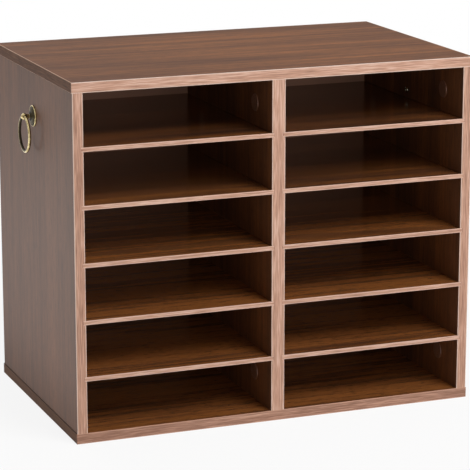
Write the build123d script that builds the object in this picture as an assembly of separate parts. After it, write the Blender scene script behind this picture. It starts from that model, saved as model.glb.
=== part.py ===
from build123d import *
import os

# Document organizer: a flat-pack case of melamine-faced board with two columns of six open
# compartments, ten thin shelves that slide in grooves, and a ring pull on each side.
# Millimetres, +Z up. The open front faces -Y. The origin is under the middle of the base.

# Case, over the edge tape
CASE_WIDTH = 490.0
CASE_DEPTH = 300.0
CASE_HEIGHT = 414.0
BOARD = 12.0
DIVIDER = 16.0
SIDE_SETBACK = 0.8
REAR_SETBACK = 1.0

# Edge tape glued to the cut edges
TAPE = 1.0
TAPE_ROUNDING = 0.4

# Shelves, in grooves of the sides and the divider
SHELVES_PER_COLUMN = 5
SHELF = 5.0
SHELF_GROOVE_DEPTH = 3.0
SHELF_END_PLAY = 0.3
SHELF_TOP_PLAY = 0.3
SHELF_BACK_PLAY = 0.3

# Back panel, in a groove all round
BACK = 3.0
BACK_RECESS = 20.0
BACK_GROOVE_DEPTH = 5.0
BACK_PLAY = 0.2

# Where the corner fittings sit
FIXING_FROM_EDGE = 52.0
DOWEL_FROM_CAM = 32.0
CAM_FROM_END = 34.0

# Cam lock: a hollow drum in a blind bore, turned through a cross recess
CAM_RADIUS = 7.4
CAM_WALL = 2.0
CAM_PLAY = 0.1
CAM_PAST_BOLT = 3.5
CAM_SINK = 0.2
CAM_BEARING = 0.05
CAM_CROSS_LENGTH = 8.0
CAM_CROSS_WIDTH = 1.2
CAM_CROSS_DEPTH = 1.0

# Cam bolt: screwed into the top or bottom board, its head held in the cam
BOLT_THREAD_RADIUS = 3.0
BOLT_THREAD_LENGTH = 8.0
BOLT_SHANK_RADIUS = 2.7
BOLT_NECK_RADIUS = 2.1
BOLT_NECK_LENGTH = 6.2
BOLT_HEAD_RADIUS = 3.1
BOLT_HEAD_LENGTH = 3.0
BOLT_COLLAR_LENGTH = 1.2
BOLT_PLAY = 0.3
THREAD_PLAY = 0.05

# Cam cover: a cap that hides the cam, with a stem pressed into the cam's socket
COVER_RADIUS = 10.0
COVER_THICKNESS = 1.2
COVER_ROUNDING = 0.5
COVER_STEM_RADIUS = 1.8
COVER_STEM_LENGTH = 1.2
COVER_STEM_PLAY = 0.1

# Dowel: plain beech pin
DOWEL_RADIUS = 3.0
DOWEL_LENGTH = 28.0
DOWEL_IN_CAP = 8.0
DOWEL_CHAMFER = 0.8
DOWEL_PLAY = 0.05
DOWEL_END_PLAY = 1.0

# Ring pull: a rosette, a post with an eye, a ring through the eye and a screw from inside
PULL_ABOVE_SHELF = 10.0
ROSETTE_RADIUS = 12.5
ROSETTE_EDGE = 1.0
ROSETTE_BEAD_RADIUS = 0.8
ROSETTE_HEIGHT = 3.8
ROSETTE_BOSS_RADIUS = 5.0
ROSETTE_CROWN = 0.7
POST_FLANGE_RADIUS = 4.2
POST_FLANGE = 0.7
POST_COVE = 1.0
POST_NECK_RADIUS = 2.8
POST_EYE_RADIUS = 3.9
POST_EYE_OUT = 11.0
POST_EYE_LAND = 0.8
POST_THREAD_DEPTH = 4.2
RING_RADIUS = 20.4
RING_WIRE_RADIUS = 1.75
RING_PLAY = 0.08
SCREW_RADIUS = 2.0
SCREW_HOLE_PLAY = 0.25
SCREW_THREAD_PLAY = 0.05
SCREW_ENGAGEMENT = 3.4
SCREW_HEAD_RADIUS = 4.0
SCREW_HEAD_HEIGHT = 2.4
SCREW_HEAD_ROUNDING = 1.1
SCREW_CROSS_LENGTH = 4.2
SCREW_CROSS_WIDTH = 0.9
SCREW_CROSS_DEPTH = 1.3

# Planes and lengths that follow from the sizes above
FRONT = -CASE_DEPTH / 2
REAR = CASE_DEPTH / 2
CORE_FRONT = FRONT + TAPE
BASE_TOP = BOARD
TOP_UNDER = CASE_HEIGHT - BOARD
END_FACE = CASE_WIDTH / 2
SIDE_OUTER = END_FACE - SIDE_SETBACK
SIDE_INNER = SIDE_OUTER - BOARD
DIVIDER_FACE = DIVIDER / 2
BACK_REAR = REAR - BACK_RECESS
BACK_FRONT = BACK_REAR - BACK
DIVIDER_REAR = BACK_FRONT - BACK_PLAY
SHELF_STACK = SHELVES_PER_COLUMN * SHELF
COMPARTMENT_HEIGHT = (TOP_UNDER - BASE_TOP - SHELF_STACK) / (SHELVES_PER_COLUMN + 1)
SHELF_PITCH = COMPARTMENT_HEIGHT + SHELF
SHELF_FLOORS = [BASE_TOP + n * SHELF_PITCH - SHELF for n in range(1, SHELVES_PER_COLUMN + 1)]
PULL_HEIGHT = SHELF_FLOORS[-1] + SHELF + PULL_ABOVE_SHELF
SIDE_CAMS = [FRONT + FIXING_FROM_EDGE, REAR - FIXING_FROM_EDGE]
SIDE_DOWELS = [SIDE_CAMS[0] + DOWEL_FROM_CAM, SIDE_CAMS[1] - DOWEL_FROM_CAM]
DIVIDER_CAMS = [FRONT + FIXING_FROM_EDGE, DIVIDER_REAR - FIXING_FROM_EDGE]
DIVIDER_DOWELS = [DIVIDER_CAMS[0] + DOWEL_FROM_CAM, DIVIDER_CAMS[1] - DOWEL_FROM_CAM]
OVERCUT = 1.0


def block(x, y, z):
    """A box between two limits along each axis."""
    size = [max(pair) - min(pair) for pair in (x, y, z)]
    centre = [sum(pair) / 2 for pair in (x, y, z)]
    return Pos(*centre) * Box(*size)


def bore(start, direction, radius, length):
    """A round bar that starts at a point and runs along a direction."""
    disc = Plane(origin=start, z_dir=direction) * Circle(radius)
    return extrude(disc, length)


def turned(profile):
    """A closed outline of (radius, height) points, turned about the Z axis."""
    outline = Polyline(*[(r, 0, z) for r, z in profile], close=True)
    return revolve(make_face(outline), Axis.Z)


def bowed(start, end, bow):
    """An arc between two points of the XZ plane. It bows out to the right of its way by bow."""
    run = Vector(*end) - Vector(*start)
    right = Vector(run.Z, 0, -run.X).normalized()
    middle = Vector(*start) + run / 2 + right * bow
    return ThreePointArc(start, middle, end)


def cross_recess(length, width, depth):
    """Two crossed slots sunk from height 0."""
    slot = block((-length / 2, length / 2), (-width / 2, width / 2), (-depth, OVERCUT))
    return slot + Rot(0, 0, 90) * slot


class BoardEnd:
    """One end of an upright board, where it meets the top or the bottom board."""

    def __init__(self, x, y_cams, y_dowels, z, up):
        self.x = x
        self.y_cams = y_cams
        self.y_dowels = y_dowels
        self.z = z
        self.up = up


def ends_of(x, y_cams, y_dowels):
    """The lower and the upper end of an upright board whose middle plane is at x."""
    lower = BoardEnd(x, y_cams, y_dowels, BASE_TOP, 1)
    upper = BoardEnd(x, y_cams, y_dowels, TOP_UNDER, -1)
    return [lower, upper]


LEFT_X = -(SIDE_INNER + SIDE_OUTER) / 2
RIGHT_X = -LEFT_X
LEFT_ENDS = ends_of(LEFT_X, SIDE_CAMS, SIDE_DOWELS)
RIGHT_ENDS = ends_of(RIGHT_X, SIDE_CAMS, SIDE_DOWELS)
DIVIDER_ENDS = ends_of(0.0, DIVIDER_CAMS, DIVIDER_DOWELS)


def cap_board(z, inward):
    """The top or the bottom board: its inner face is at z, and inward points into the case."""
    core = END_FACE - TAPE
    body = block((-core, core), (CORE_FRONT, REAR), (z, z - inward * BOARD))
    groove_y = (BACK_FRONT - BACK_PLAY, BACK_REAR + BACK_PLAY)
    body -= block((-core, core), groove_y, (z, z - inward * BACK_GROOVE_DEPTH))
    for end in LEFT_ENDS + RIGHT_ENDS + DIVIDER_ENDS:
        if end.up != inward:
            continue
        for y in end.y_cams:
            radius = BOLT_THREAD_RADIUS + THREAD_PLAY
            length = BOLT_THREAD_LENGTH + THREAD_PLAY
            body -= bore((end.x, y, z), (0, 0, -inward), radius, length)
        for y in end.y_dowels:
            radius = DOWEL_RADIUS + DOWEL_PLAY
            length = DOWEL_IN_CAP + DOWEL_END_PLAY
            body -= bore((end.x, y, z), (0, 0, -inward), radius, length)
    return body


def cap_front_tape(z, inward):
    """Tape across the whole front of a cap board, its outer corners eased."""
    tape = block((-END_FACE, END_FACE), (FRONT, CORE_FRONT), (z, z - inward * BOARD))
    return fillet(tape.edges().group_by(Axis.Y)[0], TAPE_ROUNDING)


def cap_end_tapes(z, inward):
    """Tape on both ends of a cap board, behind the front tape."""
    tapes = []
    for side in (-1, 1):
        x = (side * END_FACE, side * (END_FACE - TAPE))
        tape = block(x, (CORE_FRONT, REAR), (z, z - inward * BOARD))
        outer = tape.edges().filter_by(Axis.Y).group_by(Axis.X)[0 if side < 0 else -1]
        tapes.append(fillet(outer, TAPE_ROUNDING))
    return Compound(tapes)


def shelf_grooves(inner, into):
    """The grooves for one column's shelves: from a wall's inner face at x = inner, into it."""
    x = (inner, inner + into * SHELF_GROOVE_DEPTH)
    y = (FRONT - OVERCUT, REAR + OVERCUT)
    return [block(x, y, (floor, floor + SHELF + SHELF_TOP_PLAY)) for floor in SHELF_FLOORS]


def fitting_bores(end, face, into, thickness):
    """The bores of one board end: cam bores from the face at x, bolt and dowel bores from the end."""
    cuts = []
    cam_z = end.z + end.up * CAM_FROM_END
    for y in end.y_cams:
        depth = thickness / 2 + CAM_PAST_BOLT
        cuts.append(bore((face, y, cam_z), (into, 0, 0), CAM_RADIUS + CAM_PLAY, depth))
        radius = BOLT_HEAD_RADIUS + BOLT_PLAY
        cuts.append(bore((end.x, y, end.z), (0, 0, end.up), radius, CAM_FROM_END))
    for y in end.y_dowels:
        radius = DOWEL_RADIUS + DOWEL_PLAY
        length = DOWEL_LENGTH - DOWEL_IN_CAP + DOWEL_END_PLAY
        cuts.append(bore((end.x, y, end.z), (0, 0, end.up), radius, length))
    return cuts


def side_board(side, ends):
    """A side board, with its grooves, fitting bores and the hole for the ring pull's screw."""
    inner = side * SIDE_INNER
    depth = (CORE_FRONT, REAR - REAR_SETBACK)
    body = block((inner, side * SIDE_OUTER), depth, (BASE_TOP, TOP_UNDER))
    cuts = shelf_grooves(inner, side)
    groove_x = (inner, inner + side * BACK_GROOVE_DEPTH)
    groove_y = (BACK_FRONT - BACK_PLAY, BACK_REAR + BACK_PLAY)
    cuts.append(block(groove_x, groove_y, (BASE_TOP, TOP_UNDER)))
    for end in ends:
        cuts += fitting_bores(end, inner, side, BOARD)
    hole = SCREW_RADIUS + SCREW_HOLE_PLAY
    cuts.append(bore((inner, 0, PULL_HEIGHT), (side, 0, 0), hole, BOARD))
    return body - cuts


def side_front_tape(side):
    """Tape on a side board's front edge, notched where the shelf grooves run out."""
    inner = side * SIDE_INNER
    tape = block((inner, side * SIDE_OUTER), (FRONT, CORE_FRONT), (BASE_TOP, TOP_UNDER))
    tape = fillet(tape.edges().filter_by(Axis.Z).group_by(Axis.Y)[0], TAPE_ROUNDING)
    return tape - shelf_grooves(inner, side)


def divider_board():
    """The centre divider, grooved on both faces, its cams let in from the left."""
    x = (-DIVIDER_FACE, DIVIDER_FACE)
    body = block(x, (CORE_FRONT, DIVIDER_REAR), (BASE_TOP, TOP_UNDER))
    cuts = shelf_grooves(-DIVIDER_FACE, 1) + shelf_grooves(DIVIDER_FACE, -1)
    for end in DIVIDER_ENDS:
        cuts += fitting_bores(end, -DIVIDER_FACE, 1, DIVIDER)
    return body - cuts


def divider_front_tape():
    """Tape on the divider's front edge, notched from both sides."""
    x = (-DIVIDER_FACE, DIVIDER_FACE)
    tape = block(x, (FRONT, CORE_FRONT), (BASE_TOP, TOP_UNDER))
    tape = fillet(tape.edges().filter_by(Axis.Z).group_by(Axis.Y)[0], TAPE_ROUNDING)
    return tape - shelf_grooves(-DIVIDER_FACE, 1) - shelf_grooves(DIVIDER_FACE, -1)


def shelf_span(side):
    """The two ends of a shelf along X, each a little short of its groove's floor."""
    reach = SHELF_GROOVE_DEPTH - SHELF_END_PLAY
    return (side * (DIVIDER_FACE - reach), side * (SIDE_INNER + reach))


def shelf_board(side, floor):
    """A thin shelf, from its front tape to just short of the back panel."""
    y = (CORE_FRONT, BACK_FRONT - SHELF_BACK_PLAY)
    return block(shelf_span(side), y, (floor, floor + SHELF))


def shelf_tape(side, floor):
    """Tape on a shelf's front edge, its long corners eased."""
    tape = block(shelf_span(side), (FRONT, CORE_FRONT), (floor, floor + SHELF))
    return fillet(tape.edges().filter_by(Axis.X).group_by(Axis.Y)[0], TAPE_ROUNDING)


def back_panel():
    """One thin panel behind both columns, held in the groove all round."""
    reach = BACK_GROOVE_DEPTH - BACK_PLAY
    x = SIDE_INNER + reach
    return block((-x, x), (BACK_FRONT, BACK_REAR), (BASE_TOP - reach, TOP_UNDER + reach))


def cam_lock(thickness):
    """A cam for a board of that thickness. Its face is at height 0 and the bolt comes from +Y."""
    bolt_axis = -thickness / 2
    floor = bolt_axis - CAM_PAST_BOLT + CAM_PLAY
    drum = bore((0, 0, floor), (0, 0, 1), CAM_RADIUS, -CAM_SINK - floor)
    room = BOLT_HEAD_RADIUS + BOLT_PLAY
    cavity_roof = bolt_axis + room
    head = BOLT_HEAD_LENGTH / 2 + CAM_BEARING
    cavity = bore((0, 0, floor), (0, 0, 1), CAM_RADIUS - CAM_WALL, cavity_roof - floor)
    cavity &= block((-CAM_RADIUS, CAM_RADIUS), (-CAM_RADIUS, head), (floor, cavity_roof))
    slit = BOLT_NECK_RADIUS + BOLT_PLAY
    slot = block((-CAM_RADIUS, CAM_RADIUS), (0, CAM_RADIUS), (bolt_axis - slit, bolt_axis + slit))
    entry = block((room, CAM_RADIUS + OVERCUT), (-room, room), (floor - OVERCUT, cavity_roof))
    socket = COVER_STEM_RADIUS + COVER_STEM_PLAY
    stem_room = COVER_STEM_LENGTH + COVER_STEM_PLAY
    seat = bore((0, 0, 0), (0, 0, -1), socket, stem_room)
    cross = Pos(0, 0, -CAM_SINK) * cross_recess(CAM_CROSS_LENGTH, CAM_CROSS_WIDTH, CAM_CROSS_DEPTH)
    return drum - [cavity, slot, entry, seat, cross]


def cam_bolt():
    """A cam bolt that points along +Z, with the surface of the board it is screwed into at 0."""
    head_top = CAM_FROM_END + BOLT_HEAD_LENGTH / 2
    head_foot = CAM_FROM_END - BOLT_HEAD_LENGTH / 2
    neck_foot = head_foot - BOLT_NECK_LENGTH
    steps = [
        (0, -BOLT_THREAD_LENGTH),
        (BOLT_THREAD_RADIUS, -BOLT_THREAD_LENGTH),
        (BOLT_THREAD_RADIUS, BOLT_COLLAR_LENGTH),
        (BOLT_SHANK_RADIUS, BOLT_COLLAR_LENGTH),
        (BOLT_SHANK_RADIUS, neck_foot),
        (BOLT_NECK_RADIUS, neck_foot),
        (BOLT_NECK_RADIUS, head_foot),
        (BOLT_HEAD_RADIUS, head_foot),
        (BOLT_HEAD_RADIUS, head_top),
        (0, head_top),
    ]
    return turned(steps)


def cam_cover():
    """A round cap with a rounded rim, face down at height 0, and the stem under it."""
    cap = bore((0, 0, 0), (0, 0, 1), COVER_RADIUS, COVER_THICKNESS)
    cap = fillet(cap.edges().group_by(Axis.Z)[-1], COVER_ROUNDING)
    return cap + bore((0, 0, 0), (0, 0, -1), COVER_STEM_RADIUS, COVER_STEM_LENGTH)


def dowel():
    """A dowel that points along +Z, with the plane between the boards at 0."""
    pin = bore((0, 0, -DOWEL_IN_CAP), (0, 0, 1), DOWEL_RADIUS, DOWEL_LENGTH)
    return chamfer(pin.edges().filter_by(GeomType.CIRCLE), DOWEL_CHAMFER)


def on_face(end, face, out, y):
    """Places a cam or a cover on a board's face, with its +Y towards the board end."""
    cam_z = end.z + end.up * CAM_FROM_END
    across = Vector(0, 0, -end.up).cross(Vector(out, 0, 0))
    return Location(Plane(origin=(face, y, cam_z), x_dir=across, z_dir=(out, 0, 0)))


def at_end(end, y):
    """Places a bolt or a dowel at a board end, pointing into the upright board."""
    return Location(Plane(origin=(end.x, y, end.z), z_dir=(0, 0, end.up)))


def fittings():
    """All corner fittings, each kind as one group of separate solids."""
    boards = [
        (LEFT_ENDS, -SIDE_INNER, 1, BOARD),
        (RIGHT_ENDS, SIDE_INNER, -1, BOARD),
        (DIVIDER_ENDS, -DIVIDER_FACE, -1, DIVIDER),
    ]
    groups = {"cam_locks": [], "cam_bolts": [], "cam_covers": [], "dowels": []}
    for ends, face, out, thickness in boards:
        cam = cam_lock(thickness)
        for end in ends:
            for y in end.y_cams:
                place = on_face(end, face, out, y)
                groups["cam_locks"].append(place * cam)
                groups["cam_covers"].append(place * cam_cover())
                groups["cam_bolts"].append(at_end(end, y) * cam_bolt())
            for y in end.y_dowels:
                groups["dowels"].append(at_end(end, y) * dowel())
    return {name: Compound(solids) for name, solids in groups.items()}


def rosette():
    """A turned plate: a beaded rim, then a low crown up to the post. Its back is at height 0."""
    hole = SCREW_RADIUS + SCREW_HOLE_PLAY
    rim = (ROSETTE_RADIUS, 0, ROSETTE_EDGE)
    crown_foot = (ROSETTE_RADIUS - 2 * ROSETTE_BEAD_RADIUS, 0, ROSETTE_EDGE)
    crown_top = (ROSETTE_BOSS_RADIUS, 0, ROSETTE_HEIGHT)
    outline = [
        Line((hole, 0, 0), (ROSETTE_RADIUS, 0, 0)),
        Line((ROSETTE_RADIUS, 0, 0), rim),
        bowed(rim, crown_foot, ROSETTE_BEAD_RADIUS),
        bowed(crown_foot, crown_top, ROSETTE_CROWN),
        Line(crown_top, (hole, 0, ROSETTE_HEIGHT)),
        Line((hole, 0, ROSETTE_HEIGHT), (hole, 0, 0)),
    ]
    return revolve(make_face(outline), Axis.Z)


def flared_hole():
    """The eye's hole along X: a short straight land, then a flare that clears the ring's curve."""
    reach = POST_EYE_RADIUS + OVERCUT

    def wall(x, side):
        """The point of the flare at a distance x from the middle."""
        flare = RING_RADIUS - RING_WIRE_RADIUS - RING_PLAY
        return (side * x, 0, RING_RADIUS - (flare**2 - x**2) ** 0.5)

    middle = (POST_EYE_LAND + reach) / 2
    outline = [
        Line((-reach, 0, 0), (reach, 0, 0)),
        Line((reach, 0, 0), wall(reach, 1)),
        ThreePointArc(wall(reach, 1), wall(middle, 1), wall(POST_EYE_LAND, 1)),
        Line(wall(POST_EYE_LAND, 1), wall(POST_EYE_LAND, -1)),
        ThreePointArc(wall(POST_EYE_LAND, -1), wall(middle, -1), wall(reach, -1)),
        Line(wall(reach, -1), (-reach, 0, 0)),
    ]
    return revolve(make_face(outline), Axis.X)


def eye_post():
    """The post: a flange on the rosette, a coved neck, and a ball with the hole for the ring."""
    shoulder = ROSETTE_HEIGHT + POST_FLANGE
    cove_foot = (POST_NECK_RADIUS + POST_COVE, 0, shoulder)
    cove_top = (POST_NECK_RADIUS, 0, shoulder + POST_COVE)
    quarter_bow = POST_COVE * (1 - 0.5**0.5)
    outline = [
        Line((0, 0, ROSETTE_HEIGHT), (POST_FLANGE_RADIUS, 0, ROSETTE_HEIGHT)),
        Line((POST_FLANGE_RADIUS, 0, ROSETTE_HEIGHT), (POST_FLANGE_RADIUS, 0, shoulder)),
        Line((POST_FLANGE_RADIUS, 0, shoulder), cove_foot),
        bowed(cove_foot, cove_top, -quarter_bow),
        Line(cove_top, (POST_NECK_RADIUS, 0, POST_EYE_OUT)),
        Line((POST_NECK_RADIUS, 0, POST_EYE_OUT), (0, 0, POST_EYE_OUT)),
        Line((0, 0, POST_EYE_OUT), (0, 0, ROSETTE_HEIGHT)),
    ]
    post = revolve(make_face(outline), Axis.Z)
    post += Pos(0, 0, POST_EYE_OUT) * Sphere(POST_EYE_RADIUS)
    post -= Pos(0, 0, POST_EYE_OUT) * flared_hole()
    thread = SCREW_RADIUS + SCREW_THREAD_PLAY
    return post - bore((0, 0, ROSETTE_HEIGHT), (0, 0, 1), thread, POST_THREAD_DEPTH)


def ring():
    """The ring, hanging from the middle of the eye with its plane square to the post."""
    return Pos(0, -RING_RADIUS, POST_EYE_OUT) * Torus(RING_RADIUS, RING_WIRE_RADIUS)


def pull_screw():
    """The screw from inside the side board: pan head, cross recess and shank."""
    head_top = -BOARD - SCREW_HEAD_HEIGHT
    head = bore((0, 0, -BOARD), (0, 0, -1), SCREW_HEAD_RADIUS, SCREW_HEAD_HEIGHT)
    head = fillet(head.edges().group_by(Axis.Z)[0], SCREW_HEAD_ROUNDING)
    tip = ROSETTE_HEIGHT + SCREW_ENGAGEMENT
    shank = bore((0, 0, -BOARD), (0, 0, 1), SCREW_RADIUS, BOARD + tip)
    cross = cross_recess(SCREW_CROSS_LENGTH, SCREW_CROSS_WIDTH, SCREW_CROSS_DEPTH)
    return head + shank - Pos(0, 0, head_top) * Rot(180, 0, 0) * cross


def ring_pull(side, name):
    """One ring pull's pieces, placed on the outer face of a side board."""
    face = Plane(origin=(side * SIDE_OUTER, 0, PULL_HEIGHT), x_dir=(0, side, 0), z_dir=(side, 0, 0))
    place = Location(face)
    return {
        f"{name}_rosette": place * rosette(),
        f"{name}_eye_post": place * eye_post(),
        f"{name}_ring": place * ring(),
        f"{name}_pull_screw": place * pull_screw(),
    }


def organizer():
    """Every node of the organizer, by name."""
    nodes = {
        "top_board": cap_board(TOP_UNDER, -1),
        "top_front_tape": cap_front_tape(TOP_UNDER, -1),
        "top_end_tapes": cap_end_tapes(TOP_UNDER, -1),
        "bottom_board": cap_board(BASE_TOP, 1),
        "bottom_front_tape": cap_front_tape(BASE_TOP, 1),
        "bottom_end_tapes": cap_end_tapes(BASE_TOP, 1),
        "left_side_board": side_board(-1, LEFT_ENDS),
        "left_side_tape": side_front_tape(-1),
        "right_side_board": side_board(1, RIGHT_ENDS),
        "right_side_tape": side_front_tape(1),
        "centre_divider": divider_board(),
        "divider_tape": divider_front_tape(),
        "back_panel": back_panel(),
    }
    for side, column in ((-1, "left"), (1, "right")):
        for number, floor in enumerate(SHELF_FLOORS, start=1):
            nodes[f"{column}_shelf_{number}"] = shelf_board(side, floor)
            nodes[f"{column}_shelf_{number}_tape"] = shelf_tape(side, floor)
        nodes.update(ring_pull(side, column))
    nodes.update(fittings())
    return nodes


os.makedirs("parts", exist_ok=True)
for node, shape in organizer().items():
    export_step(shape, f"parts/{node}.step")
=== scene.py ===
import math

import bmesh
import bpy
import numpy as np
from mathutils import Euler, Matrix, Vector


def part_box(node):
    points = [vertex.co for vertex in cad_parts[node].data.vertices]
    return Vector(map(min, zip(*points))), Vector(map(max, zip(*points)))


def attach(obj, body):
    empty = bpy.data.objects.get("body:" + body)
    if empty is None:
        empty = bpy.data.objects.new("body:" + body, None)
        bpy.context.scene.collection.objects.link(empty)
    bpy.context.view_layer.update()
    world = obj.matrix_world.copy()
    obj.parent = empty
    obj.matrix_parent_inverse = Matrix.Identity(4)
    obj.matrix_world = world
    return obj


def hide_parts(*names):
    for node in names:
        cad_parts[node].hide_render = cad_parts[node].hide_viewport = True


# Looks of a document organizer, in metres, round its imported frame. +Z is up and the open front
# faces -Y. The sections follow the case as it is put together.

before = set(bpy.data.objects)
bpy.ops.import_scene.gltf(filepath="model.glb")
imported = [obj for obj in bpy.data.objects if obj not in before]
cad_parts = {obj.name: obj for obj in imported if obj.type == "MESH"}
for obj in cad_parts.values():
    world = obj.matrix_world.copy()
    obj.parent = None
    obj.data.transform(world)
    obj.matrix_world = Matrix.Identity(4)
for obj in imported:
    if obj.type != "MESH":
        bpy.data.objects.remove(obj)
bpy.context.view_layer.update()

# Boards. Particle board, pressed from wood chips and faced on both sides with walnut-print
# melamine. Each is sawn to size, so its cut edges, grooves and bores show the chips.

MM = 0.001
WALNUT_DARK = "#402A20"
WALNUT_MID = "#724628"
WALNUT_GOLD = "#955C2F"
WALNUT_PORE = "#33231A"
PORE_SHARE = 0.6
PORE_RELIEF = 0.015 * MM
FILM_THICKNESS = 0.1 * MM
CHIP_DARK = "#94704B"
CHIP_LIGHT = "#D0AC80"
CHIP_GAP = "#62462D"
CHIP_ROUGHNESS = 0.9

# Length, width and thickness of a chip.
CHIP_SIZE = (4 * MM, 2 * MM, 1.2 * MM)

# How a board lies: its grain axis and the axis square to its faces, and the turn in degrees
# that brings them onto the pattern's X and Z.
GRAIN_TURNS = {
    ("X", "Z"): (0, 0, 0),
    ("Z", "X"): (0, 90, 0),
    ("X", "Y"): (90, 0, 0),
    ("Z", "Y"): (90, 0, 90),
    ("Y", "X"): (90, 90, 0),
}


def linear(hex_colour):
    """An sRGB hex colour as linear RGBA, each channel by the sRGB curve."""
    srgb = np.array([int(hex_colour[i : i + 2], 16) for i in (1, 3, 5)]) / 255
    channels = np.where(srgb <= 0.04045, srgb / 12.92, ((srgb + 0.055) / 1.055) ** 2.4)
    return (*channels.tolist(), 1.0)


def add_node(tree, kind, inputs=None, stops=(), output=0, **settings):
    """Adds a node and gives back one of its outputs.

    Settings are its properties, inputs its values or the sockets that feed it, and stops the
    places and colours of a ramp, both its ends before any stop between them.
    """
    node = tree.nodes.new("ShaderNode" + kind)
    for key, value in settings.items():
        setattr(node, key, value)
    for key, value in (inputs or {}).items():
        if isinstance(value, bpy.types.NodeSocket):
            tree.links.new(value, node.inputs[key])
        else:
            node.inputs[key].default_value = value
    for number, (position, colour) in enumerate(stops):
        elements = node.color_ramp.elements
        stop = elements[number] if number < 2 else elements.new(position)
        stop.position = position
        stop.color = linear(colour)
    return node.outputs[output] if node.outputs else None


def new_material(name):
    """An empty node material, with its tree."""
    material = bpy.data.materials.new(name)
    material.use_nodes = True
    material.node_tree.nodes.clear()
    return material, material.node_tree


def close_material(tree, height, relief, shader_inputs):
    """Ends a tree: the height, relief metres deep, bumps a Principled surface."""
    bump = add_node(tree, "Bump", {"Height": height, "Distance": relief, "Strength": 1.0})
    shader = add_node(tree, "BsdfPrincipled", {"Normal": bump, **shader_inputs})
    add_node(tree, "OutputMaterial", {"Surface": shader})


def pattern_space(tree, name, grain, face):
    """A node's own pattern space, in metres from its middle: along its grain, across it, through it."""
    low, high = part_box(name)
    turn = Euler([math.radians(angle) for angle in GRAIN_TURNS[grain, face]])
    middle = turn.to_matrix() @ ((low + high) / 2)
    half = turn.to_matrix() @ ((high - low) / 2)
    place = add_node(tree, "TexCoord", output="Object")
    space = add_node(tree, "Mapping", {"Vector": place, "Rotation": turn, "Location": -middle})
    return space, [abs(size) for size in half]


def streaks(tree, space, sheet, length, width, detail=2.0, bend=0.0):
    """Noise in cells of length by width millimetres. Each sheet reads another part of it."""
    cells = (1 / (length * MM), 1 / (width * MM), 1 / (width * MM))
    inputs = {"Vector": space, "Scale": cells, "Location": (7.3 * sheet, 3.1 * sheet, 0)}
    stretched = add_node(tree, "Mapping", inputs)
    inputs = {"Vector": stretched, "Scale": 1.0, "Detail": detail, "Distortion": bend}
    return add_node(tree, "TexNoise", inputs)


def walnut_print(tree, space, sheet, figure, shade):
    """Printed walnut: bands, veins and fibres add up to a tone from dark to golden, under pores.

    A figure of 1 is bold, with bands that differ much, and of 0 quite plain. Shade is added to the
    tone, so it makes a sheet more golden or, below 0, darker. A tone of 0.5 is the middle brown,
    and each noise is 0.5 on average, so the last term takes off what the three add to that.
    """
    bands = streaks(tree, space, sheet, length=500, width=45, detail=2.0, bend=0.6)
    veins = streaks(tree, space, sheet, length=300, width=9, detail=3.0, bend=0.3)
    # Fibres of walnut are a fraction of a millimetre wide. These are drawn at 1.3 mm, to show.
    fibres = streaks(tree, space, sheet, length=38, width=1.3)
    tone = 0.35 + shade - 1.1 * figure
    for noise, weight in ((fibres, 0.3 + 0.3 * figure), (veins, figure), (bands, 0.9 * figure)):
        tone = add_node(tree, "Math", {0: noise, 1: weight, 2: tone}, operation="MULTIPLY_ADD")
    stops = [(0.15, WALNUT_DARK), (0.75, WALNUT_GOLD), (0.5, WALNUT_MID)]
    colour = add_node(tree, "ValToRGB", {0: tone}, stops)
    # Pores are short dark dashes along the grain, 0.3 mm wide and drawn at 0.9 mm, to show.
    dashes = streaks(tree, space, sheet, length=12, width=0.9, detail=0.0)
    inputs = {"Value": dashes, "From Min": 0.6, "From Max": 0.75, "To Max": PORE_SHARE}
    pores = add_node(tree, "MapRange", inputs)
    inputs = {0: pores, 6: colour, 7: linear(WALNUT_PORE)}
    return add_node(tree, "Mix", inputs, output=2, data_type="RGBA"), tone, pores


def chip_core(tree, space):
    """Sawn particle board: flat chips, each its own tone, with dark gaps where they end."""
    chips = add_node(tree, "Mapping", {"Vector": space, "Scale": [1 / size for size in CHIP_SIZE]})
    tones = add_node(tree, "TexVoronoi", {"Vector": chips, "Scale": 1.0}, output="Color")
    colour = add_node(tree, "ValToRGB", {0: tones}, [(0.15, CHIP_DARK), (0.85, CHIP_LIGHT)])
    from_middle = add_node(tree, "TexVoronoi", {"Vector": chips, "Scale": 1.0}, output="Distance")
    gaps = add_node(tree, "MapRange", {"Value": from_middle, "From Min": 0.6, "From Max": 1.0})
    inputs = {0: gaps, 6: colour, 7: linear(CHIP_GAP)}
    return add_node(tree, "Mix", inputs, output=2, data_type="RGBA")


def walnut_melamine(name, grain, face, sheet, figure, shade, gloss, roughness):
    """Melamine-faced particle board: a hard, closed film with the printed grain under it.

    Away from the two faces, on cut edges, grooves and bores, the chips show, matt and raw.
    """
    material, tree = new_material("walnut_melamine_" + name)
    space, half = pattern_space(tree, name, grain, face)
    printed, tone, pores = walnut_print(tree, space, sheet, figure, shade)
    through = add_node(tree, "SeparateXYZ", {0: space}, output="Z")
    within = half[2] - FILM_THICKNESS
    inside = add_node(tree, "Math", {0: through, 1: 0.0, 2: within}, operation="COMPARE")
    inputs = {0: inside, 6: printed, 7: chip_core(tree, space)}
    colour = add_node(tree, "Mix", inputs, output=2, data_type="RGBA")
    # The film is a little smoother over the golden streaks, and as rough as given at the middle tone.
    film = add_node(tree, "Math", {0: tone, 1: -0.1, 2: roughness + 0.05}, operation="MULTIPLY_ADD")
    rough = add_node(tree, "Mix", {0: inside, 2: film, 3: CHIP_ROUGHNESS}, data_type="FLOAT")
    closed = add_node(tree, "Math", {0: 1.0, 1: pores}, operation="SUBTRACT")
    shine = {"Base Color": colour, "Roughness": rough, "IOR": 1.5, "Specular IOR Level": gloss}
    close_material(tree, closed, PORE_RELIEF, shine)
    return material


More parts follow.
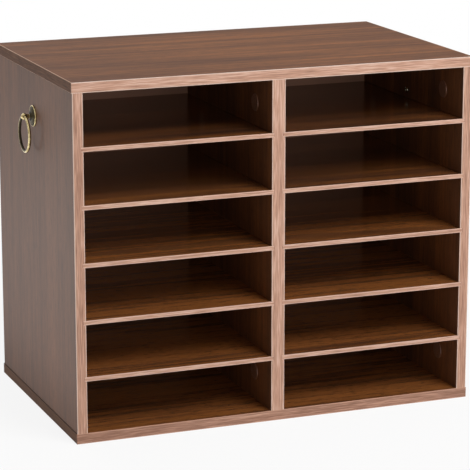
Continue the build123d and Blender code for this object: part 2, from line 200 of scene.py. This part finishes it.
def dress(name, material):
    """Gives a CAD node its one material."""
    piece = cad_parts[name]
    piece.data.materials.clear()
    piece.data.materials.append(material)


# The boards that papers lie on are boldly figured, under a glossy film. The others are satin.
BOLD_FIGURE = 1.1
GLOSSY_LEVEL = 0.6
GLOSSY_ROUGHNESS = 0.18
SATIN_ROUGHNESS = 0.55

# Each board's grain axis, face axis and sheet of print, then the figure, shade, gloss and roughness.
# The top is the dullest board and the left side the plainest. The bottom's shade of 0.2, as pale as
# the lowest shelves', is painted light, like theirs.
BOARDS = [
    ("bottom_board", "X", "Z", 1, BOLD_FIGURE, 0.2, GLOSSY_LEVEL, GLOSSY_ROUGHNESS),
    ("left_side_board", "Z", "X", 18, 0.3, -0.15, 0.3, SATIN_ROUGHNESS),
    ("centre_divider", "Z", "X", 3, 0.6, -0.03, 0.25, SATIN_ROUGHNESS),
    ("right_side_board", "Z", "X", 4, 0.6, -0.03, 0.3, SATIN_ROUGHNESS),
    ("top_board", "X", "Z", 181, 0.7, 0.0, 0.06, SATIN_ROUGHNESS),
]
for name, *looks in BOARDS:
    dress(name, walnut_melamine(name, *looks))

# Shelves. Ten thin boards, walnut-faced above and below, that slide in the grooves. Their film is
# glossy enough to mirror the back corners faintly.

# Each column's shelves are darker from the lowest to the highest: painted shade, standing in for
# the light that reaches the higher floors less.
SHELF_PAINTED_SHADES = {1: 0.2, 2: 0.2, 3: 0.15, 4: 0.05, 5: -0.02}
SHELVES = []
for column in ("left", "right"):
    for number, shade in SHELF_PAINTED_SHADES.items():
        name = f"{column}_shelf_{number}"
        SHELVES.append(name)
        sheet = 20 + len(SHELVES)
        looks = (BOLD_FIGURE, shade, GLOSSY_LEVEL, GLOSSY_ROUGHNESS)
        dress(name, walnut_melamine(name, "X", "Z", sheet, *looks))

# Back panel. One sheet of 3 mm hardboard, pressed from wood fibre, walnut-printed inside
# and left raw outside. It sits in a groove all round.

HARDBOARD = "#6B4A2C"
HARDBOARD_DARK = "#543820"
PRINT_DULL = "#B28670"
PRINT_DULLING = 0.7


def walnut_hardboard(name):
    """Hardboard: one face printed, the other bare fibre, smooth, brown and faintly clouded."""
    material, tree = new_material("walnut_hardboard")
    space, half = pattern_space(tree, name, "X", "Y")
    # The ink lies on the bare fibre with no film over it, so it looks paler and duller.
    printed = walnut_print(tree, space, sheet=40, figure=0.7, shade=0.0)[0]
    inputs = {0: PRINT_DULLING, 6: printed, 7: linear(PRINT_DULL)}
    dull = add_node(tree, "Mix", inputs, output=2, data_type="RGBA")
    # Clouds about 40 mm wide and fibres add up to a mottle of 0.5 on average. The fibres are about
    # 2 mm long and far finer than the render shows, so they are drawn at 1 mm.
    clouds = add_node(tree, "TexNoise", {"Vector": space, "Scale": 1 / (40 * MM), "Detail": 6.0})
    cloudy = add_node(tree, "Math", {0: clouds, 1: 0.8, 2: -0.15}, operation="MULTIPLY_ADD")
    fibres = add_node(tree, "TexNoise", {"Vector": space, "Scale": 1 / (1 * MM), "Detail": 2.0})
    mottle = add_node(tree, "Math", {0: fibres, 1: 0.5, 2: cloudy}, operation="MULTIPLY_ADD")
    bare = add_node(tree, "ValToRGB", {0: mottle}, [(0.3, HARDBOARD_DARK), (0.7, HARDBOARD)])
    through = add_node(tree, "SeparateXYZ", {0: space}, output="Z")
    printed_face = -half[2] + FILM_THICKNESS
    behind = add_node(tree, "Math", {0: through, 1: printed_face}, operation="GREATER_THAN")
    colour = add_node(tree, "Mix", {0: behind, 6: dull, 7: bare}, output=2, data_type="RGBA")
    shine = {"Base Color": colour, "Roughness": 0.55, "IOR": 1.5, "Specular IOR Level": 0.4}
    close_material(tree, mottle, 0.03 * MM, shine)
    return material


dress("back_panel", walnut_hardboard("back_panel"))

# Front tapes. ABS edging 1 mm thick, printed a paler walnut than the boards, glued to each
# front edge and cut back flush. The paler band along both arrises is partly the bare plastic
# that trimming leaves and partly a painted highlight.

TAPE_DARK = "#8B6654"
TAPE_MID = "#BA8F79"
TAPE_LIGHT = "#D0AD9B"
# The pale arris colour is partly bare plastic, partly a painted highlight.
TAPE_ARRIS_AND_HIGHLIGHT = "#D9BFB0"
TAPE_GLOSS = 0.25
TAPE_ARRIS_WIDTH = 1.0 * MM


def edge_tape(name, grain, face, sheet, shade, gloss, arris_width, colours):
    """Printed ABS tape: a matt skin with fine streaks along it, and a band at each arris in the colour
    given for it: paler for bare plastic and a painted highlight, darker for a painted shadow.

    The print runs from dark through mid to light, and its tone is 0.5 plus the shade on average.
    """
    dark, mid, light, arris = colours
    material, tree = new_material("edge_tape_" + name)
    space, half = pattern_space(tree, name, grain, face)
    bands = streaks(tree, space, sheet, length=120, width=5, bend=0.2)
    # The printed fibres are about 0.3 mm wide. They are drawn at 0.9 mm, to show.
    fibres = streaks(tree, space, sheet, length=22, width=0.9)
    tone = shade - 0.35
    for noise, weight in ((fibres, 1.3), (bands, 0.4)):
        tone = add_node(tree, "Math", {0: noise, 1: weight, 2: tone}, operation="MULTIPLY_ADD")
    printed = add_node(tree, "ValToRGB", {0: tone}, [(0.1, dark), (0.75, light), (0.5, mid)])
    across = add_node(tree, "SeparateXYZ", {0: space}, output="Y")
    from_middle = add_node(tree, "Math", {0: across}, operation="ABSOLUTE")
    edge = half[1]
    # The band at each arris takes the arris colour: partly bare plastic, partly a painted highlight, and a
    # painted shadow where that colour is dark.
    inputs = {"Value": from_middle, "From Min": edge - arris_width, "From Max": edge - 0.5 * arris_width}
    arris_band = add_node(tree, "MapRange", inputs)
    inputs = {0: arris_band, 6: printed, 7: linear(arris)}
    colour = add_node(tree, "Mix", inputs, output=2, data_type="RGBA")
    shine = {"Base Color": colour, "Roughness": 0.55, "IOR": 1.5, "Specular IOR Level": gloss}
    close_material(tree, tone, 0.04 * MM, shine)
    return material


# The lowest tape is printed darker and the side tapes a little darker: painted shade, for the light
# that falls off towards the floor and the sides. The case's other tapes show the palest arrises and
# the shelves' tapes paler ones, partly painted highlight. The lowest tape's are its middle colour.
FRONT_TAPES = [
    ("bottom_front_tape", "X", -0.28, TAPE_MID),
    ("left_side_tape", "Z", -0.1, TAPE_ARRIS_AND_HIGHLIGHT),
    ("divider_tape", "Z", 0.0, TAPE_ARRIS_AND_HIGHLIGHT),
    ("right_side_tape", "Z", -0.1, TAPE_ARRIS_AND_HIGHLIGHT),
    ("top_front_tape", "X", 0.0, TAPE_ARRIS_AND_HIGHLIGHT),
] + [(name + "_tape", "X", 0.0, TAPE_LIGHT) for name in SHELVES]
for sheet, (name, grain, shade, arris) in enumerate(FRONT_TAPES, start=1):
    colours = (TAPE_DARK, TAPE_MID, TAPE_LIGHT, arris)
    dress(name, edge_tape(name, grain, "Y", sheet, shade, TAPE_GLOSS, TAPE_ARRIS_WIDTH, colours))

# End tapes. The same edging in the boards' own walnut, on the ends of the top and the bottom.

END_TAPE_DARK = "#422A1D"
END_TAPE_MID = "#60402D"
END_TAPE_LIGHT = "#74513A"
# Partly scraped plastic, partly a painted highlight.
END_TAPE_ARRIS_AND_HIGHLIGHT = "#C9A58C"
END_TAPE_GLOSS = 0.06
END_TAPE_ARRIS_WIDTH = 0.5 * MM

# The top's arrises are pale, partly scraped plastic and partly a painted highlight. The bottom's are
# painted in the dark print, a painted shadow along the seam under the sides.
END_TAPES = [
    ("bottom_end_tapes", 0.2, END_TAPE_DARK),
    ("top_end_tapes", 0.0, END_TAPE_ARRIS_AND_HIGHLIGHT),
]
for sheet, (name, shade, arris) in enumerate(END_TAPES, start=40):
    colours = (END_TAPE_DARK, END_TAPE_MID, END_TAPE_LIGHT, arris)
    dress(name, edge_tape(name, "Y", "X", sheet, shade, END_TAPE_GLOSS, END_TAPE_ARRIS_WIDTH, colours))

# Corner fittings. Steel bolts screwed into the top and the bottom, die-cast cams that draw
# their heads in, and beech dowels that keep the boards from turning.

ZINC = "#A4A6A6"
ZINC_DARK = "#7C7E7F"
STEEL = "#C3C2BC"
STEEL_TINT = "#B7B59E"
BEECH_DARK = "#B98F62"
BEECH_LIGHT = "#DDB98A"


def bare_metal(name, dark, light, cloud, roughness, relief):
    """A plain metal surface, whose tone, roughness and relief are clouded over cloud millimetres."""
    material, tree = new_material(name)
    place = add_node(tree, "TexCoord", output="Object")
    clouds = add_node(tree, "TexNoise", {"Vector": place, "Scale": 1 / (cloud * MM), "Detail": 4.0})
    colour = add_node(tree, "ValToRGB", {0: clouds}, [(0.3, dark), (0.7, light)])
    worn = add_node(tree, "Math", {0: clouds, 1: 0.2, 2: roughness - 0.1}, operation="MULTIPLY_ADD")
    close_material(tree, clouds, relief, {"Base Color": colour, "Roughness": worn, "Metallic": 1.0})
    return material


def turned_beech(name):
    """Turned beech: pale and even, with short darker flecks along the pin."""
    material, tree = new_material("turned_beech")
    space = pattern_space(tree, name, "Z", "X")[0]
    flecks = streaks(tree, space, sheet=1, length=6, width=0.8)
    colour = add_node(tree, "ValToRGB", {0: flecks}, [(0.35, BEECH_DARK), (0.65, BEECH_LIGHT)])
    close_material(tree, flecks, 0.05 * MM, {"Base Color": colour, "Roughness": 0.65})
    return material


# Die-cast zinc is a dull grey with the grain of its mould. Plated steel is brighter and faintly yellow.
dress("cam_locks", bare_metal("die_cast_zinc", ZINC_DARK, ZINC, 2.5, 0.5, 0.03 * MM))
plated_steel = bare_metal("zinc_plated_steel", STEEL_TINT, STEEL, 4.0, 0.2, 0.01 * MM)
dress("cam_bolts", plated_steel)
dress("dowels", turned_beech("dowels"))

# Cam covers. Injection-moulded caps of dark brown plastic, pushed into the cams to hide them.

COVER_THICKNESS = 1.2 * MM
COVER_RADIUS = 10.0 * MM
COVER_ROUNDING = 0.5 * MM
COVER_STEM_RADIUS = 1.8 * MM
COVER_STEM_LENGTH = 1.2 * MM
COVER_BROWN = "#754F3A"
FIXING_FROM_EDGE = 52 * MM
CAM_FROM_END = 34 * MM
TURN_STEPS = 96


def arc(centre, radius, start, end, steps=9):
    """Points of an arc in a plane, from one angle to another in degrees.

    Each is the centre plus the radius times the angle's cosine and sine.
    """
    angle = np.radians(np.linspace(start, end, steps))
    return np.stack([centre[0] + radius * np.cos(angle), centre[1] + radius * np.sin(angle)], axis=1)


def turned(profile, steps=TURN_STEPS):
    """A surface of revolution: each (radius, height) of the profile goes round the height axis."""
    angle = np.linspace(0, 2 * np.pi, steps, endpoint=False)
    radius, height = np.asarray(profile).T[:, :, None]
    around = [radius * np.cos(angle), radius * np.sin(angle), height + 0 * angle]
    return np.stack(around, axis=-1)


def surface_piece(name, grids, material, sharp=35):
    """One mesh from grids of points: quads join neighbours, both ways round, and equal points merge.

    A grid's rows close on themselves too, so a profile that ends on the axis closes at its pole.
    """
    points, faces, first = [], [], 0
    for grid in grids:
        rows, columns = grid.shape[:2]
        index = np.arange(rows * columns).reshape(rows, columns) + first
        below = np.roll(index, -1, axis=0)
        corners = [index, np.roll(index, -1, axis=1), np.roll(below, -1, axis=1), below]
        faces.append(np.stack(corners, axis=-1).reshape(-1, 4))
        points.append(grid.reshape(-1, 3))
        first += rows * columns
    mesh = bpy.data.meshes.new(name)
    mesh.from_pydata(np.concatenate(points).tolist(), [], np.concatenate(faces).tolist())
    work = bmesh.new()
    work.from_mesh(mesh)
    bmesh.ops.remove_doubles(work, verts=work.verts, dist=1e-7)
    bmesh.ops.recalc_face_normals(work, faces=work.faces)
    work.to_mesh(mesh)
    work.free()
    mesh.shade_smooth()
    mesh.set_sharp_from_angle(angle=math.radians(sharp))
    mesh.materials.append(material)
    piece = bpy.data.objects.new(name, mesh)
    bpy.context.scene.collection.objects.link(piece)
    return piece


def stand(points, origin, axes):
    """Places points: their X, Y and Z run along the three axes from the origin."""
    return np.asarray(origin) + points @ np.asarray(axes, float)


def moulded_plastic(name, colour):
    """Injection-moulded polypropylene: even, satin, with the faint grain of the mould."""
    material, tree = new_material(name)
    place = add_node(tree, "TexCoord", output="Object")
    # The mould's eroded grain is about 0.2 mm wide. It is drawn at 0.8 mm, to show.
    grain = add_node(tree, "TexNoise", {"Vector": place, "Scale": 1 / (0.8 * MM), "Detail": 2.0})
    roughness = add_node(tree, "Math", {0: grain, 1: 0.15, 2: 0.22}, operation="MULTIPLY_ADD")
    shine = {"Base Color": linear(colour), "Roughness": roughness, "Specular IOR Level": 1.0}
    close_material(tree, grain, 0.02 * MM, shine)
    return material


# The cover's profile goes out from the stem's foot, over the rounded rim, and along the face to its
# middle. A first narrow band of the face keeps it flat beside the rounding.
rim = (COVER_RADIUS - COVER_ROUNDING, COVER_THICKNESS - COVER_ROUNDING)
cover_profile = np.concatenate([
    [(0, -COVER_STEM_LENGTH), (COVER_STEM_RADIUS, -COVER_STEM_LENGTH), (COVER_STEM_RADIUS, 0)],
    [(COVER_RADIUS, 0)],
    arc(rim, COVER_ROUNDING, 0, 90),
    [(COVER_RADIUS - 1.5 * COVER_ROUNDING, COVER_THICKNESS), (0, COVER_THICKNESS)],
])
cap = turned(cover_profile)
case_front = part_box("top_front_tape")[0].y
case_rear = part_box("top_board")[1].y
divider_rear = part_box("centre_divider")[1].y
covers = []
for board, out, rear in (
    ("left_side_board", 1, case_rear),
    ("right_side_board", -1, case_rear),
    ("centre_divider", -1, divider_rear),
):
    low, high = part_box(board)
    x = high.x if out > 0 else low.x
    for y in (case_front + FIXING_FROM_EDGE, rear - FIXING_FROM_EDGE):
        for z in (low.z + CAM_FROM_END, high.z - CAM_FROM_END):
            covers.append(stand(cap, (x, y, z), [(0, 1, 0), (0, 0, 1), (out, 0, 0)]))
cam_covers = surface_piece("cam_cover_caps", covers, moulded_plastic("moulded_cover", COVER_BROWN))
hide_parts("cam_covers")
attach(cam_covers, "case")

# Ring pulls. Zinc castings plated in antique brass: a turned rosette, a post with an eye,
# and a ring that hangs in the eye. A screw from inside the board holds the post.

BRASS = "#8C774A"
BRASS_BRIGHT = "#D6C595"
BRASS_PATINA = "#1E1811"
ROSETTE_EDGE = 1.0 * MM
ROSETTE_BEAD_RADIUS = 0.8 * MM
ROSETTE_BOSS_RADIUS = 5.0 * MM
ROSETTE_CROWN = 0.7 * MM
SCREW_HOLE_RADIUS = 2.25 * MM
POST_FLANGE_RADIUS = 4.2 * MM
POST_FLANGE = 0.7 * MM
POST_COVE = 1.0 * MM
POST_NECK_RADIUS = 2.8 * MM
POST_THREAD_RADIUS = 2.05 * MM
POST_THREAD_DEPTH = 4.2 * MM
POST_EYE_OUT = 11.0 * MM
RING_PLAY = 0.08 * MM
RING_STEPS = 160

# The neck ends inside the eye's ball, this share of the ball's radius short of its middle.
POST_NECK_SHORT = 0.65

# Half the lengths of the eye's hole: of its straight land, and out to its flared mouth.
POST_EYE_LAND = 0.8 * MM
POST_EYE_MOUTH = 3.15 * MM

# How far the patina reaches out of each hollow, and the most darkening left on the crown and the
# ring, which is patina and painted shade.
BEAD_PATINA = 0.5 * MM
FLANGE_PATINA = 0.6 * MM
COVE_PATINA = 0.8 * MM
CROWN_PATINA_AND_SHADE = 0.85
RING_PATINA_AND_SHADE = 0.9


def antique_brass(name):
    """Antique brass plate: polished bright, darkened with acid and rubbed, so hollows stay dark.

    Its darkening attribute is 1 where the plate is darkest, dark and matt: patina in the hollows, and
    painted shade over the rosette's crown and the ring's inner side.
    """
    material, tree = new_material(name)
    place = add_node(tree, "TexCoord", output="Object")
    rubbing = add_node(tree, "TexNoise", {"Vector": place, "Scale": 1 / (3 * MM), "Detail": 5.0})
    plate = add_node(tree, "ValToRGB", {0: rubbing}, [(0.3, BRASS), (0.7, BRASS_BRIGHT)])
    patina_and_shade = add_node(tree, "Attribute", output="Fac", attribute_name="patina_and_shade")
    inputs = {0: patina_and_shade, 6: plate, 7: linear(BRASS_PATINA)}
    colour = add_node(tree, "Mix", inputs, output=2, data_type="RGBA")
    polish = add_node(tree, "Math", {0: rubbing, 1: 0.2, 2: 0.1}, operation="MULTIPLY_ADD")
    roughness = add_node(tree, "Math", {0: patina_and_shade, 1: 0.35, 2: polish}, operation="MULTIPLY_ADD")
    metallic = add_node(tree, "Math", {0: 1.0, 1: patina_and_shade}, operation="SUBTRACT")
    shine = {"Base Color": colour, "Roughness": roughness, "Metallic": metallic, "Specular IOR Level": 0.12}
    close_material(tree, rubbing, 0.006 * MM, shine)
    return material


def bowed(start, end, bow, steps=17):
    """Points of an arc from start to end that stands off its chord by bow, to the left of its way.

    The radius is half the chord squared plus the bow squared, over twice the bow. A bow below 0
    stands off to the right.
    """
    start, end = np.asarray(start, float), np.asarray(end, float)
    run = end - start
    half_chord = np.hypot(*run) / 2
    radius = (half_chord**2 + bow**2) / (2 * bow)
    left = np.array([-run[1], run[0]]) / (2 * half_chord)
    centre = (start + end) / 2 + left * (bow - radius)
    first = np.arctan2(*(start - centre)[::-1])
    sweep = 2 * np.arcsin(np.clip(half_chord / radius, -1, 1))
    angle = first - np.linspace(0, sweep, steps)
    return centre + abs(radius) * np.stack([np.cos(angle), np.sin(angle)], axis=1)


def vertex_places(piece):
    """All vertices of a piece as an array."""
    places = np.zeros(len(piece.data.vertices) * 3)
    piece.data.vertices.foreach_get("co", places)
    return places.reshape(-1, 3)


def patina(distance, reach):
    """The patina left at a distance from a hollow's deepest line: a bell curve, 1 on the line."""
    return np.exp(-((distance / reach) ** 2))


def tint_patina_and_shade(piece, shares):
    """Stores each vertex's darkening, 0 to 1: patina in hollows, and painted shade on the crown and the
    ring.
    """
    attribute = piece.data.attributes.new("patina_and_shade", "FLOAT", "POINT")
    attribute.data.foreach_set("value", shares.astype(np.float32))


brass = antique_brass("antique_brass_plate")
for side, column in ((-1, "left"), (1, "right")):
    low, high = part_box(column + "_rosette")
    face = high.x if side < 0 else low.x
    rosette_radius = (high.y - low.y) / 2
    rosette_height = high.x - low.x
    foot = np.array([face, (low.y + high.y) / 2, (low.z + high.z) / 2])
    axes = [(0, side, 0), (0, 0, 1), (side, 0, 0)]

    # The rosette's profile goes over the bead at its edge, up the crown and across the flat boss.
    bead_middle = (rosette_radius - ROSETTE_BEAD_RADIUS, ROSETTE_EDGE)
    bead = arc(bead_middle, ROSETTE_BEAD_RADIUS, 0, 180, steps=17)
    crown_foot = (rosette_radius - 2 * ROSETTE_BEAD_RADIUS, ROSETTE_EDGE)
    crown_top = (ROSETTE_BOSS_RADIUS, rosette_height)
    plate = np.concatenate([
        [(SCREW_HOLE_RADIUS, 0), (rosette_radius, 0)],
        bead,
        bowed(crown_foot, crown_top, -ROSETTE_CROWN),
        [(SCREW_HOLE_RADIUS, rosette_height)],
    ])
    rosette = surface_piece(column + "_rosette_plate", [stand(turned(plate), foot, axes)], brass)
    places = vertex_places(rosette) - foot
    radius = np.hypot(places[:, 1], places[:, 2])
    by_bead = patina(radius - crown_foot[0], BEAD_PATINA)
    by_flange = patina(radius - POST_FLANGE_RADIUS - FLANGE_PATINA / 2, FLANGE_PATINA)
    # The whole crown is darkened too: painted shade, with patina.
    on_crown = CROWN_PATINA_AND_SHADE * (radius < crown_foot[0])
    tint_patina_and_shade(rosette, np.clip(by_bead + by_flange + on_crown, 0, 1))
    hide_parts(column + "_rosette")
    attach(rosette, "case")

    # The post's profile goes out under its flange, up the cove and the neck, and back down the
    # threaded hole.
    low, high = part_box(column + "_eye_post")
    eye_radius = (high.x - low.x) - (POST_EYE_OUT - rosette_height)
    shoulder = rosette_height + POST_FLANGE
    neck_top = POST_EYE_OUT - POST_NECK_SHORT * eye_radius
    thread_top = rosette_height + POST_THREAD_DEPTH
    cove = arc((POST_NECK_RADIUS + POST_COVE, shoulder + POST_COVE), POST_COVE, 270, 180)
    post = np.concatenate([
        [(POST_THREAD_RADIUS, rosette_height), (POST_FLANGE_RADIUS, rosette_height)],
        [(POST_FLANGE_RADIUS, shoulder)],
        cove,
        [(POST_NECK_RADIUS, neck_top), (0, neck_top)],
        [(0, thread_top), (POST_THREAD_RADIUS, thread_top)],
    ])

    # The eye is turned about the pin line: out over the ball, back through the flared hole, whose
    # wall follows the ring's own curve.
    low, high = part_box(column + "_ring")
    wire = (high.x - low.x) / 2
    ring_radius = (high.y - low.y) / 2 - wire
    flare = ring_radius - wire - RING_PLAY
    mouth = np.linspace(POST_EYE_LAND, POST_EYE_MOUTH, 13)
    wall = ring_radius - np.sqrt(flare**2 - mouth**2)
    mouth_angle = math.degrees(math.atan2(wall[-1], mouth[-1]))
    ball = arc((0, 0), eye_radius, 180 - mouth_angle, mouth_angle, steps=41)[:, ::-1]
    hole = np.stack([wall, mouth], axis=1)
    eye = np.concatenate([ball, hole[::-1], hole * (1, -1)])
    eye_axes = [(0, 0, 1), (side, 0, 0), (0, side, 0)]
    eye_middle = foot + np.array([side * POST_EYE_OUT, 0, 0])
    grids = [stand(turned(post), foot, axes), stand(turned(eye), eye_middle, eye_axes)]
    post_piece = surface_piece(column + "_eye_post_casting", grids, brass)
    places = vertex_places(post_piece)
    out = np.abs(places[:, 0] - face)
    tint_patina_and_shade(post_piece, patina(out - shoulder, COVE_PATINA))
    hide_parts(column + "_eye_post")
    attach(post_piece, "case")

    # The ring is a circle of wire carried round a circle. It is darkened towards its inner side, at
    # inward 1, in painted shade over some patina, and its outer side is left bright brass.
    section = arc((ring_radius, 0), wire, 0, 360, steps=33)[:-1]
    middle = np.array([(low.x + high.x) / 2, (low.y + high.y) / 2, (low.z + high.z) / 2])
    wire_grid = stand(turned(section, RING_STEPS), middle, axes)
    ring = surface_piece(column + "_ring_wire", [wire_grid], brass)
    places = vertex_places(ring) - middle
    inward = (ring_radius - np.hypot(places[:, 1], places[:, 2])) / wire
    tint_patina_and_shade(ring, RING_PATINA_AND_SHADE * np.clip(0.4 + 0.8 * inward, 0, 1))
    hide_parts(column + "_ring")
    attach(ring, column + "_ring_body")
    dress(column + "_pull_screw", plated_steel)

# Camera, floor and light. A plain white studio: a pale floor, a large soft light in front and
# above with a broad low one under it, weaker ones overhead and behind, a faint glow and a small
# lamp low on the left, and an even fill.

LENS = 178.3
CAMERA_PLACE = (-0.9920, -2.5426, 0.8505)
CAMERA_YAW = 21.418
CAMERA_PITCH = 13.640
FLOOR_REACH = 30
FLOOR_PALE = "#F7F7F7"
FILL = 0.16

# The floor catches shadow in this share near the object, and in none from the farther distance on.
FLOOR_CATCH = 0.12
CATCH_NEAR = 0.4
CATCH_FAR = 1.2


def softbox(name, place, target, width, height, radiance, mirrored=True):
    """A rectangular lamp that faces a target. Its power follows from its radiance and its area.

    One that isn't mirrored lights the object but leaves no image of itself in its gloss.
    """
    lamp = bpy.data.lights.new(name, "AREA")
    lamp.shape = "RECTANGLE"
    lamp.size = width
    lamp.size_y = height
    lamp.energy = radiance * math.pi * width * height
    holder = bpy.data.objects.new(name, lamp)
    holder.location = place
    holder.rotation_euler = (Vector(target) - Vector(place)).to_track_quat("-Z", "Y").to_euler()
    holder.visible_camera = False
    holder.visible_glossy = mirrored
    bpy.context.scene.collection.objects.link(holder)


def seen_directly(tree):
    """1 for camera, glossy and transmission rays, which see the background, and 0 for the rest."""
    camera_ray, glossy_ray, transmission_ray = [
        add_node(tree, "LightPath", output=f"Is {kind} Ray") for kind in ("Camera", "Glossy", "Transmission")
    ]
    seen = add_node(tree, "Math", {0: camera_ray, 1: glossy_ray}, operation="MAXIMUM")
    return add_node(tree, "Math", {0: seen, 1: transmission_ray}, operation="MAXIMUM")


camera = bpy.data.objects.new("camera", bpy.data.cameras.new("camera"))
camera.data.lens = LENS
camera.location = CAMERA_PLACE
camera.rotation_euler = (math.radians(90 - CAMERA_PITCH), 0, math.radians(-CAMERA_YAW))
bpy.context.scene.collection.objects.link(camera)
bpy.context.scene.camera = camera

floor_mesh = bpy.data.meshes.new("floor")
corners = [(x * FLOOR_REACH, y * FLOOR_REACH, 0) for x, y in ((-1, -1), (1, -1), (1, 1), (-1, 1))]
floor_mesh.from_pydata(corners, [], [(0, 1, 2, 3)])
floor = bpy.data.objects.new("floor", floor_mesh)
bpy.context.scene.collection.objects.link(floor)
material, tree = new_material("white_floor")
place = add_node(tree, "TexCoord", output="Object")
distance = add_node(tree, "VectorMath", {0: place}, output="Value", operation="LENGTH")
inputs = {"Value": distance, "From Min": CATCH_NEAR, "From Max": CATCH_FAR, "To Min": 1 - FLOOR_CATCH}
white = add_node(tree, "MapRange", inputs)
share = add_node(tree, "Math", {0: seen_directly(tree), 1: white}, operation="MULTIPLY")
matt = add_node(tree, "BsdfDiffuse", {"Color": linear(FLOOR_PALE)})
glow = add_node(tree, "Emission", {"Strength": 1.0})
mixed = add_node(tree, "MixShader", {0: share, 1: matt, 2: glow})
add_node(tree, "OutputMaterial", {"Surface": mixed})
floor_mesh.materials.append(material)

world = bpy.data.worlds.new("studio")
world.use_nodes = True
tree = world.node_tree
tree.nodes.clear()
inputs = {0: seen_directly(tree), 1: 1 - FILL, 2: FILL}
strength = add_node(tree, "Math", inputs, operation="MULTIPLY_ADD")
sky = add_node(tree, "Background", {"Color": linear("#FFFFFF"), "Strength": strength})
add_node(tree, "OutputWorld", {"Surface": sky})
bpy.context.scene.world = world

softbox("low_front_light", (0.4, -2.6, 0.65), (0, 0, 0.3), 3.0, 0.9, 2.4, mirrored=False)
softbox("front_light", (0.9, -1.85, 2.15), (0, 0, 0.3), 1.6, 1.4, 7.5)
softbox("overhead_light", (0.2, 0.2, 2.4), (0, 0, 0.4), 1.6, 1.6, 0.35)
softbox("rear_light", (-0.5, 2.5, 1.6), (0, 0, 0.2), 1.6, 1.2, 2.6)
softbox("low_left_glow", (-0.8, 0.6, 0.01), (-0.8, 0.6, 1), 1.0, 1.5, 0.6)
softbox("low_left_light", (-0.8, 0.6, 0.03), (-0.25, 0, 0.05), 0.27, 0.25, 5.0)

bpy.context.scene.view_settings.view_transform = "Standard"
